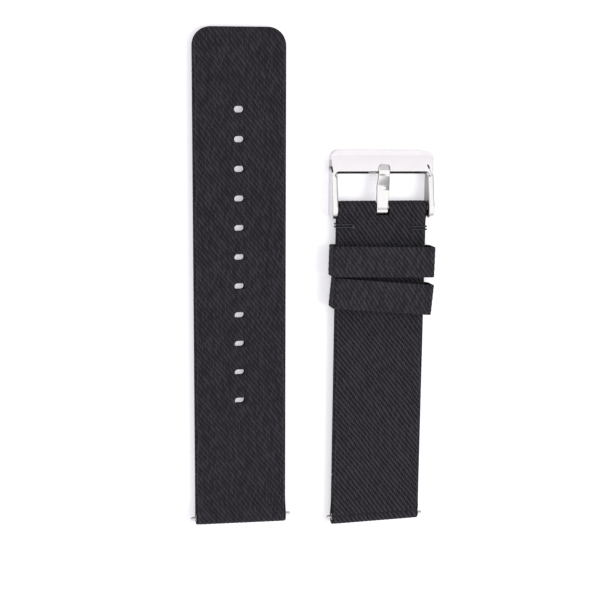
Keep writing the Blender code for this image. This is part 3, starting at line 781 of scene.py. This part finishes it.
def inner_layers(band, canvas, felt, matrix, lift, core_top, lining_places, core_places,
                 plans=(None, None)):
    """A band's lining and its stiff core."""
    stations = flat_stations(lining_places, lift + LINING_THICKNESS / 2, down=True)
    lining = cloth(f"{band}_lining", stations, HALF_WIDTH, LINING_THICKNESS, canvas, matrix,
                   plan=plans[0], crease=0, mirror=-1)
    stations = flat_stations(core_places, core_top - CORE_THICKNESS / 2)
    core = cloth(f"{band}_core", stations, HALF_WIDTH - CORE_INSET, CORE_THICKNESS, felt, matrix,
                 plan=plans[1], relief=0, crease=0, edge=CORE_EDGE, step=CORE_STEP)
    return lining, core


def long_band(canvas, felt):
    """The band with the holes and the rounded tip."""
    face_z = LONG_CORE_TOP + GLUE_LINE + FACE_THICKNESS / 2
    line = lug_fold(face_z, FACE_THICKNESS / 2, LONG_CREASE) + [(LONG_LENGTH, face_z)]
    distance = line_lengths(line)
    start = distance[-1] - LONG_LENGTH
    folded = np.arange(0, distance[-2], CLOTH_STEP)
    places = np.concatenate([folded, tip_places(folded[-1] + CLOTH_STEP - start, LONG_LENGTH) + start])
    face = cloth("long_band_face", stations_at(line, places), HALF_WIDTH, FACE_THICKNESS, canvas,
                 LONG_HALF, plan=tip_plan, lip_stop=math.inf, fold=LONG_FOLD, start=start)
    lining, core = inner_layers("long_band", canvas, felt, LONG_HALF, 0, LONG_CORE_TOP,
                                tip_places(LINING_START, LONG_LENGTH),
                                tip_places(CORE_START, LONG_LENGTH - CORE_INSET),
                                (tip_plan, core_plan))
    for layer, ends in ((face, FACE_HOLE_ENDS), (core, CORE_HOLE_ENDS), (lining, LINING_HOLE_ENDS)):
        cut(layer, prisms(hole_outlines(*ends), *CUTTER_HEIGHTS, LONG_HALF))
    finish_band("long", face, lining, core)


def short_band(canvas, felt):
    """The band with a fold at each end, and the slot that the tongue comes through."""
    face_z = SHORT_CORE_TOP + GLUE_LINE + FACE_THICKNESS / 2
    flap_z = SHORT_LIFT + FACE_THICKNESS / 2
    bar = (BUCKLE_AXIS.y, BUCKLE_AXIS.z)
    lug_end = lug_fold(face_z, flap_z, SHORT_CREASE)
    line = lug_end + fold_points(bar, 1, BUCKLE_RAMP, face_z, flap_z, BUCKLE_FLAP)
    distance = line_lengths(line)
    places = even_places(0, distance[-1], CLOTH_STEP)
    face = cloth("short_band_face", stations_at(line, places), HALF_WIDTH, FACE_THICKNESS, canvas,
                 SHORT_HALF, lip_stop=bar[0] - BUCKLE_RAMP, fold=SHORT_FOLD,
                 start=distance[len(lug_end) - 1] - lug_end[-1][0])
    slots = ((UPPER_SLOT, bar[1] - SLOT_OVERLAP, SLOT_TOP), (LOWER_SLOT, 0, bar[1]))
    side, stop = SLOT_WIDTH / 2, bar[0] + SLOT_OVERRUN
    for reach, low, high in slots:
        outline = ((-side, bar[0] - reach), (side, bar[0] - reach), (side, stop), (-side, stop))
        cut(face, prisms([outline], low, high, SHORT_HALF))
    lining_stop, core_stop = bar[0] - BUCKLE_FLAP - BUTT_GAP, bar[0] - CORE_SETBACK
    lining, core = inner_layers("short_band", canvas, felt, SHORT_HALF, SHORT_LIFT, SHORT_CORE_TOP,
                                even_places(LINING_START, lining_stop, CLOTH_STEP),
                                even_places(CORE_START, core_stop, CLOTH_STEP))
    finish_band("short", face, lining, core)


def keeper_stations(height, side_gap):
    """A closed line round the strap, through the middle of a keeper's wall."""
    radius = KEEPER_CORNER
    x = HALF_WIDTH + side_gap + KEEPER_WALL / 2 - radius
    low, high = KEEPER_WALL / 2, height - KEEPER_WALL / 2
    corners = ((x, high - radius), (x, low + radius), (-x, low + radius), (-x, high - radius))
    line = [(0, high)]
    for i, centre in enumerate(corners):
        line += arc_points(centre, radius, 90 - 90 * i, -90 * i, steps=12)
    line.append((0, high))
    places = even_places(0, line_lengths(line)[-1], CLOTH_STEP)[:-1]
    found = points_at(line, places)
    return found, left_normals(np.roll(found, -1, axis=0) - np.roll(found, 1, axis=0)), places


def keeper(node, body, canvas, skew, side_gap):
    """A canvas loop round the strap, turned a little from square."""
    low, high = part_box(node)
    middle = (low + high) / 2
    middle.z = 0
    turn = SHORT_HALF.to_3x3().to_4x4() @ Matrix.Rotation(math.radians(skew), 4, "Z")
    loop = cloth(f"{node}_loop", keeper_stations(high.z, side_gap), KEEPER_LENGTH / 2, KEEPER_WALL,
                 canvas, Matrix.Translation(middle) @ turn, loop=True, edge=KEEPER_EDGE,
                 crease=KEEPER_CREASE)
    finish_piece(loop, body, node)


def twisted_thread(name, path, material):
    """A thread of twisted plies along a path, with its ends closed."""
    places = even_places(0, line_lengths(path)[-1], THREAD_STEP)
    points = points_at(path, places)
    tangents = np.gradient(points, axis=0)
    tangents /= np.linalg.norm(tangents, axis=1)[:, None]
    angle = np.linspace(0, 2 * math.pi, THREAD_SIDES, endpoint=False)
    side = np.cross(tangents[0], FIRST_SIDE)
    vertices, weave = [], []
    for place, point, tangent in zip(places, points, tangents):
        side -= tangent * side.dot(tangent)
        side /= np.linalg.norm(side)
        turned = angle - 2 * math.pi * place / THREAD_TWIST
        reach = THREAD_RADIUS * (1 - THREAD_LOBE_SHARE * (0.5 - 0.5 * np.cos(THREAD_PLIES * turned)))
        ring = np.cos(angle)[:, None] * side + np.sin(angle)[:, None] * np.cross(tangent, side)
        vertices.append(point + ring * reach[:, None])
        weave.append(np.stack([turned * THREAD_RADIUS, np.full(THREAD_SIDES, place)], axis=1))
    return swept_piece(name, vertices, weave, material, SHORT_HALF)


def bent_path(corners, steps=6):
    """Straight runs between corners, each corner but the ends cut to a small bend."""
    points = [corners[0]]
    for before, corner, after in zip(corners, corners[1:], corners[2:]):
        start, stop = [corner + (other - corner).normalized() * THREAD_BEND
                       for other in (before, after)]
        for share in np.linspace(0, 1, steps + 1):
            points.append(start.lerp(corner, share).lerp(corner.lerp(stop, share), share))
    return points + [corners[-1]]


def tack_thread(node, side, thread):
    """One thread: two turns through the band and round its edge."""
    middle = BUCKLE_AXIS.y - (LEFT_TACK_SETBACK if side < 0 else RIGHT_TACK_SETBACK)
    first, second = middle - TACK_SPACING / 2, middle + TACK_SPACING / 2
    stand_off = THREAD_GAP + THREAD_RADIUS
    inside, outside = side * (HALF_WIDTH - TACK_LENGTH), side * (HALF_WIDTH + stand_off)
    low, high = SHORT_LIFT - stand_off, SHORT_TOP + stand_off
    turn = ((inside, low), (inside, high), (outside, high), (outside, low))
    corners = [(inside + side * THREAD_TAIL, first, low)]
    corners += [(x, y, z) for y in (first, second) for x, z in turn]
    corners.append((outside - side * THREAD_TAIL, second, low))
    piece = twisted_thread(f"{node}_thread", bent_path([Vector(c) for c in corners]), thread)
    finish_piece(piece, "short_half", node)


def melted_end(thread):
    """The left thread's melted end, a small bead where it goes into the canvas."""
    place = (TACK_LENGTH - HALF_WIDTH, BUCKLE_AXIS.y - LEFT_TACK_SETBACK - BEAD_SETBACK,
             SHORT_TOP + BEAD_RADIUS * BEAD_RISE)
    mesh = bmesh.new()
    bmesh.ops.create_uvsphere(mesh, u_segments=24, v_segments=14, radius=BEAD_RADIUS)
    mesh.verts.index_update()
    vertices = np.array([vertex.co for vertex in mesh.verts]) * BEAD_STRETCH + place
    faces = [[vertex.index for vertex in face.verts] for face in mesh.faces]
    mesh.free()
    # Its material is lighter than the thread's: a painted glint on the bead.
    piece = new_piece("left_thread_bead", vertices, faces, vertices[:, :2], thread, SHORT_HALF)
    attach(piece, "short_half")


def arm_end_height(y):
    """Half the height of an arm's rounded end."""
    past = np.minimum(y + ARM_OVERHANG, 0)
    return np.sqrt(np.clip(ARM_END_RADIUS ** 2 - past ** 2, 0, None))


def frame_top(y):
    """Height of the buckle's top above its bar axis, at places along the strap."""
    inner, outer = PLATE_START_Z - ARM_END_RADIUS, PLATE_STOP_Z - ARM_END_RADIUS
    arm = ARM_END_RADIUS + (inner - ARM_END_RADIUS) * y / PLATE_START
    share = np.clip((y - PLATE_START) / PLATE_WIDTH, 0, 1)
    plate = inner + (outer - inner) * share + PLATE_CROWN * np.sin(math.pi * share)
    return np.where(y < 0, arm_end_height(y), np.where(y < PLATE_START, arm, plate))


def notch_floor():
    """Height of the notch's floor above the bar axis."""
    return frame_top(PLATE_START + TIP_LENGTH / 2) - NOTCH_DEPTH


def plate_columns(reach):
    """Places across the plate, close together at the walls of its notch."""
    wall = [share * MM for share in NOTCH_WALL]
    left, right = NOTCH_MIDDLE - NOTCH_WIDTH / 2, NOTCH_MIDDLE + NOTCH_WIDTH / 2
    across = list(np.linspace(-reach, left - WALL_OUTSIDE, PLATE_COLUMNS)[1:])
    across += [left + a for a in wall]
    across += list(np.linspace(left + WALL_INSIDE, right - WALL_INSIDE, NOTCH_COLUMNS))
    across += [right - a for a in wall[::-1]]
    return across + list(np.linspace(right + WALL_OUTSIDE, reach, PLATE_COLUMNS)[:-1])


def frame_pairs(corner_steps=40):
    """Pairs of points on the window's edge and on the outline, from arm to arm."""
    inner, outer = WINDOW_HALF, FRAME_HALF
    corner, window = FRAME_CORNER, WINDOW_CORNER
    stop, arm_stop = PLATE_STOP, PLATE_START - window
    round_end = -ARM_OVERHANG - ARM_END_RADIUS * np.cos(np.linspace(0, math.pi / 2, ARM_END_ROWS))
    arm = np.concatenate([round_end, np.linspace(0, arm_stop, ARM_ROWS)])
    pairs = [((-inner, y), (-outer, y)) for y in arm]
    side = [(-outer, arm_stop), (-outer, stop - corner)]
    side += arc_points((corner - outer, stop - corner), corner, 180, 90, steps=24)[1:]
    side += [(window - inner, stop)]
    places = np.linspace(0, line_lengths(side)[-1], corner_steps + 1)[1:]
    arc = arc_points((window - inner, arm_stop), window, 180, 90, corner_steps)[1:]
    pairs += zip(arc, points_at(side, places))
    mirrored = [((-a[0], a[1]), (-b[0], b[1])) for a, b in pairs[::-1]]
    pairs += [((x, PLATE_START), (x, stop)) for x in plate_columns(inner - window)]
    return pairs + mirrored


def corner_inset(x, y, half_width, stop, radius):
    """Distance in from an outline's sides and end, with round corners between them."""
    beside, beyond = np.abs(x) - (half_width - radius), y - (stop - radius)
    in_corner = (beside > 0) & (beyond > 0)
    return radius - np.where(in_corner, np.hypot(beside, beyond), np.maximum(beside, beyond))


def frame_inset(x, y):
    """Distances in from the outline and from the window's edge."""
    outside = corner_inset(x, y, FRAME_HALF, PLATE_STOP, FRAME_CORNER)
    inside = -corner_inset(x, y, WINDOW_HALF, PLATE_START, WINDOW_CORNER)
    return np.clip(outside, 0, None), np.clip(inside, 0, None)


def notch_inset(x, y):
    """Distances in from the outline of the notch that the tongue's tip lies in."""
    stop = TONGUE_REACH + NOTCH_END_GAP
    return corner_inset(x - NOTCH_MIDDLE, y, NOTCH_WIDTH / 2, stop, TIP_CORNER)


def chamfer(inside):
    """The slanted edge along the plate's window side, soft where it meets the plate."""
    share = (CHAMFER_WIDTH - inside) / CHAMFER_SOFT
    soft = np.where(share < 1, np.clip(share, 0, 1) ** 2 / 2, share - 0.5) * CHAMFER_SOFT
    return soft * CHAMFER_DROP / CHAMFER_WIDTH + rounding(inside, CHAMFER_LIP)


def frame_ring(near, far):
    """One section of the frame, from a point on the window's edge to the outline and back."""
    near, far = np.array(near), np.array(far)
    span = np.linalg.norm(far - near)
    squeeze = min(1, span / (2 * FRAME_OFFSETS[-1] + OFFSET_SPARE))
    near_side = [offset * squeeze / span for offset in FRAME_OFFSETS]
    far_side = [1 - share for share in near_side[::-1]]
    gap = far_side[0] - near_side[-1]
    shares = np.concatenate([near_side, near_side[-1] + gap * FRAME_SHARES, far_side])
    x, y = (near + (far - near) * shares[:, None]).T
    outside, inside = frame_inset(x, y)
    height = frame_top(y)
    top_round = np.minimum(FRAME_ROUND, height + ROUND_SPARE)
    top, rolled = height - rounding(outside, top_round), rounding(inside, top_round)
    plate = smooth((y - PLATE_START + CHAMFER_FADE) / CHAMFER_FADE)
    top -= rolled + (chamfer(inside) - rolled) * plate
    into = notch_inset(x, y)
    sunk = top + (notch_floor() - top) * smooth(into / NOTCH_SOFT + 0.5)
    top = np.where((y > 0) & (into > -NOTCH_SOFT), np.minimum(top, sunk), top)
    low = np.where(y < 0, -arm_end_height(y), -ARM_END_RADIUS)
    under_round = np.minimum(UNDER_ROUND, ROUND_SPARE - low)
    bottom = low + rounding(np.minimum(outside, inside), under_round)
    if span < ARM_SPAN:
        end_inset = y + ARM_END_RADIUS + ARM_OVERHANG
        pinch = 1 - ARM_PINCH * (1 - smooth(end_inset / PINCH_LENGTH))
        centre = (near[0] + far[0]) / 2
        x = centre + (x - centre) * pinch
    upper = np.stack([x, y, np.maximum(top, bottom + LEAST_THICKNESS)], axis=1)
    under = np.stack([x, y, bottom], axis=1)[::-1]
    last, count = len(under), len(FRAME_OFFSETS)
    thinned = [*range(0, count - 1, 2), *range(count, last - count, 4), *range(last - count + 2, last, 2)]
    return np.concatenate([upper, under[thinned]])


def steel_piece(name, rows, materials, sharp_angle):
    """A swept steel piece in the buckle's frame, with its materials and sharp edges."""
    weave = [row[:, :2] for row in rows]
    piece = swept_piece(name, rows, weave, materials[0], BUCKLE_MATRIX)
    piece.data.set_sharp_from_angle(angle=sharp_angle)
    for material in materials[1:]:
        piece.data.materials.append(material)
    return piece


def buckle_frame(satin, polished, walls):
    """The U of the arms and the broad plate, swept from one arm's end to the other's."""
    rows = [frame_ring(near, far) for near, far in frame_pairs()]
    piece = steel_piece("buckle_frame_steel", rows, (polished, satin, walls), FRAME_SHARP)
    vertices = np.concatenate(rows)
    for polygon in piece.data.polygons:
        x, y, z = vertices[list(polygon.vertices)].mean(axis=0)
        outside, inside = frame_inset(x, y)
        on_plate = z > -ARM_END_RADIUS / 2 and y > PLATE_START - WINDOW_CORNER
        if on_plate and inside > SATIN_INSET and outside > SATIN_RIM:
            polygon.material_index = 1
        # The window's walls get the wall steel, whose darker colour is painted shade.
        elif inside < WALL_INSET < outside and y > 0:
            polygon.material_index = 2
    finish_piece(piece, "buckle_frame", "buckle_frame")


def tongue_line():
    """Middle line of the tongue: curled round the bar, flat, sloping, then flat."""
    radius = BORE_RADIUS + TONGUE_THICKNESS / 2
    tip_z = notch_floor() + TIP_CLEARANCE + TONGUE_THICKNESS / 2
    points = arc_points((0, 0), radius, *TONGUE_CURL, steps=60)
    places = np.linspace(SLOPE_PLACES[0], SLOPE_PLACES[-1], SLOPE_POINTS)
    falls = np.cumsum(np.tan(np.radians(np.interp(places, SLOPE_PLACES, SLOPE_ANGLES))))
    heights = radius + (tip_z - radius) * falls / falls[-1]
    return points + list(zip(places * MM, heights)) + [(TONGUE_REACH, tip_z)]


def heel_reach(y, z):
    """Outer radius of the tongue's heel towards a point: squared off above and behind."""
    square = BORE_RADIUS + TONGUE_THICKNESS
    if y >= 0 or z <= 0:
        return square
    length = math.hypot(y, z)
    a, b = -y / length, z / length
    middle = square - HEEL_ROUND
    if min(a, b) / max(a, b) * square <= middle:
        return square / max(a, b)
    along = (a + b) * middle
    return along + math.sqrt(along ** 2 - 2 * middle ** 2 + HEEL_ROUND ** 2)


def tongue_ring(point, normal, place, length):
    """One section of the tongue, square to its middle line."""
    (y, z), corner, thick = point, TIP_CORNER, TONGUE_THICKNESS / 2
    left, right = [np.interp(y / MM, TONGUE_PLACES, side) * MM for side in (TONGUE_LEFT, TONGUE_RIGHT)]
    inside = max(place - (length - corner), 0)
    w = (right - left) / 2 - corner + math.sqrt(max(corner ** 2 - inside ** 2, 0))
    rim = TONGUE_ROUND * min(1, (length - place) / corner + LEAST_ROUND)
    outer = thick - max(y - TIP_BEND_PLACE, 0) * TIP_BEND_SLOPE
    if y < 0:
        outer += heel_reach(y, z) - (BORE_RADIUS + thick) - thick
    if z > 0:
        outer -= HEEL_LINE_DEPTH * math.exp(-((y - HEEL_LINE_PLACE) / HEEL_LINE_WIDTH) ** 2)
    flat_half, high, low = w - rim, outer - rim, rim - thick
    centres = ((flat_half, high), (-flat_half, high), (-flat_half, low), (flat_half, low))
    arcs = [arc_points(centre, rim, 90 * i, 90 * (i + 1), steps=4) for i, centre in enumerate(centres)]
    flat = [(share * flat_half, outer) for share in FLAT_SHARES]
    x, b = np.array(arcs[0] + flat + arcs[1] + arcs[2] + arcs[3]).T
    bowed = smooth((y - BOW_START) / BOW_RISE) * smooth((BOW_STOP - y) / BOW_FALL)
    fall = bowed * (TONGUE_CROWN * (x / w) ** 2 + TONGUE_TWIST * x / w)
    b = np.where(b > 0, b - fall, b)
    return np.stack([x + (right + left) / 2, y + normal[0] * b, z + normal[1] * b], axis=1)


def buckle_tongue(steel, sheared_and_shaded):
    """The tongue, swept along its middle line, with dull, rough sides cut by shearing, their colour
    darkened as painted shade.
    """
    line = tongue_line()
    length = line_lengths(line)[-1]
    straight = np.arange(0, length - TIP_CORNER, TONGUE_STEP)
    places = np.concatenate([straight, length - TIP_CORNER + TIP_CORNER * np.sin(TONGUE_TIP_ANGLES)])
    rows = [tongue_ring(*station, length) for station in zip(*stations_at(line, places))]
    piece = steel_piece("buckle_tongue_steel", rows, (steel, sheared_and_shaded), SHARP_ANGLE)
    # The sides get the sheared steel, whose dark colour is painted shade.
    for polygon in piece.data.polygons:
        polygon.material_index = int(abs(polygon.normal.x) > SIDE_SHARE)
    finish_piece(piece, "buckle_tongue", "buckle_tongue")


def make_camera():
    data = bpy.data.cameras.new("camera")
    data.lens = CAMERA_LENS
    data.clip_start, data.clip_end = CAMERA_CLIP
    made = add_object("camera", data)
    made.location = CAMERA_PLACE
    made.rotation_euler = CAMERA_TURN
    bpy.context.scene.camera = made


def make_floor():
    """A white floor that keeps the strap's soft shadow."""
    nodes = Nodes(bpy.data.materials.new("white_floor"), cleared=True)
    rays = nodes.node("LightPath")
    in_metal = nodes.times(rays["Is Glossy Ray"], METAL_GLOW)
    strength = nodes.line(rays["Is Camera Ray"], FLOOR_GLOW, in_metal)
    paper = nodes.node("BsdfDiffuse", [FLOOR_COLOUR])[0]
    glow = nodes.node("Emission", [GLOW_COLOUR, strength])[0]
    nodes.node("OutputMaterial", [nodes.node("AddShader", [paper, glow])[0]])
    sides = ((-1, -1), (1, -1), (1, 1), (-1, 1))
    corners = [(x * FLOOR_REACH, y * FLOOR_REACH, -FLOOR_DROP) for x, y in sides]
    data = bpy.data.meshes.new("floor")
    data.from_pydata(corners, [], [(0, 1, 2, 3)])
    data.materials.append(nodes.owner)
    add_object("floor", data)


def make_world():
    """Even pale light, white to the camera, and darker low down for the metal."""
    world = bpy.data.worlds.new("studio")
    bpy.context.scene.world = world
    nodes = Nodes(world, cleared=True)
    rays = nodes.node("LightPath")
    direction = nodes.node("TexCoord")["Generated"]
    by_height = nodes.ramp(nodes.node("SeparateXYZ", [direction])[2], SKY_BY_HEIGHT)
    line = (math.cos(SKY_LINE_TURN), math.sin(SKY_LINE_TURN), 0)
    along = nodes.node("VectorMath", [direction, line], operation="DOT_PRODUCT")["Value"]
    by_side = nodes.ramp(nodes.line(along, 0.5, 0.5), SKY_ALONG)
    both = nodes.node("Mix", {"Factor": 1, "A": by_height, "B": by_side},
                      data_type="RGBA", blend_type="MULTIPLY")["Result"]
    mirrored = nodes.node("Background", [both])[0]
    soft = nodes.node("Background", [SKY_COLOUR, SKY_STRENGTH])[0]
    unseen = nodes.node("MixShader", [rays["Is Glossy Ray"], soft, mirrored])[0]
    seen = nodes.node("Background", [SKY_SEEN])[0]
    nodes.node("OutputWorld", [nodes.node("MixShader", [rays["Is Camera Ray"], unseen, seen])[0]])


def make_lamp():
    """A square soft lamp that faces the middle of the strap, and that metal doesn't mirror."""
    data = bpy.data.lights.new("key", "AREA")
    data.shape = "SQUARE"
    data.size = LAMP_SIZE
    data.energy = LAMP_POWER
    made = add_object("key", data)
    made.location = LAMP_PLACE
    made.visible_glossy = False
    made.rotation_euler = (-Vector(LAMP_PLACE)).to_track_quat("-Z", "Y").to_euler()


make_camera()
make_floor()
make_world()
make_lamp()

bpy.context.scene.view_settings.view_transform = "Standard"

LONG_CANVAS = twill_material("canvas_twill", (0.0201, 0.0183, 0.0223), 0.62, HALF_WIDTH)
SHORT_CANVAS = twill_material("buckle_band_twill", (0.0204, 0.0187, 0.0226), 1.65, HALF_WIDTH)
KEEPER_CANVAS = twill_material("keeper_twill", (0.0228, 0.021, 0.0253), 0.85)
FELT = felt_material("interlining_felt", (0.08, 0.08, 0.085))
THREAD = thread_material("waxed_thread", (0.037, 0.035, 0.04))
# Melted bead: thread material made twice as light, as a painted glint on the bead.
BEAD_PAINTED_GLINT = thread_material("melted_thread_painted_glint", (0.075, 0.075, 0.08))
POLISH = (0.985, 0.975, 0.97)
PLATE = steel_material("satin_steel", (0.985, 0.945, 0.975), 0.2, 0.1, BRUSHED_ACROSS, necks=True)
POLISHED = steel_material("polished_steel", POLISH, 0.09, 0.05, BRUSHED_ALONG, necks=True)
# Window walls: colour darkened as painted shade, standing in for their dark reflections.
SHADED_WALLS = steel_material("window_wall_painted_shade", (0.53, 0.52, 0.53), 0.3, 0.15, SHEARED_GRAIN)
# Sheared sides: rough like sheared steel, with the colour darkened as painted shade standing in for dark
# reflections.
SHEARED_AND_SHADED = steel_material("sheared_steel_painted_shade", (0.31, 0.305, 0.31), 0.3, 0.15, SHEARED_GRAIN)
TONGUE = steel_material("tongue_polish", POLISH, 0.09, 0.05, BRUSHED_ALONG)
BAR = steel_material("drawn_steel", (0.86, 0.85, 0.83), 0.28, 0.1, DRAWN_GRAIN)

long_band(LONG_CANVAS, FELT)
short_band(SHORT_CANVAS, FELT)
keeper("fixed_keeper", "short_half", KEEPER_CANVAS, *FIXED_KEEPER)
keeper("free_keeper", "free_keeper", KEEPER_CANVAS, *FREE_KEEPER)
tack_thread("tack_stitch_left", -1, THREAD)
tack_thread("tack_stitch_right", 1, THREAD)
melted_end(BEAD_PAINTED_GLINT)
buckle_frame(PLATE, POLISHED, SHADED_WALLS)
buckle_tongue(TONGUE, SHEARED_AND_SHADED)

for held in frame["nodes"].values():
    if not held.hide_render:
        held.data.materials.clear()
        held.data.materials.append(BAR)
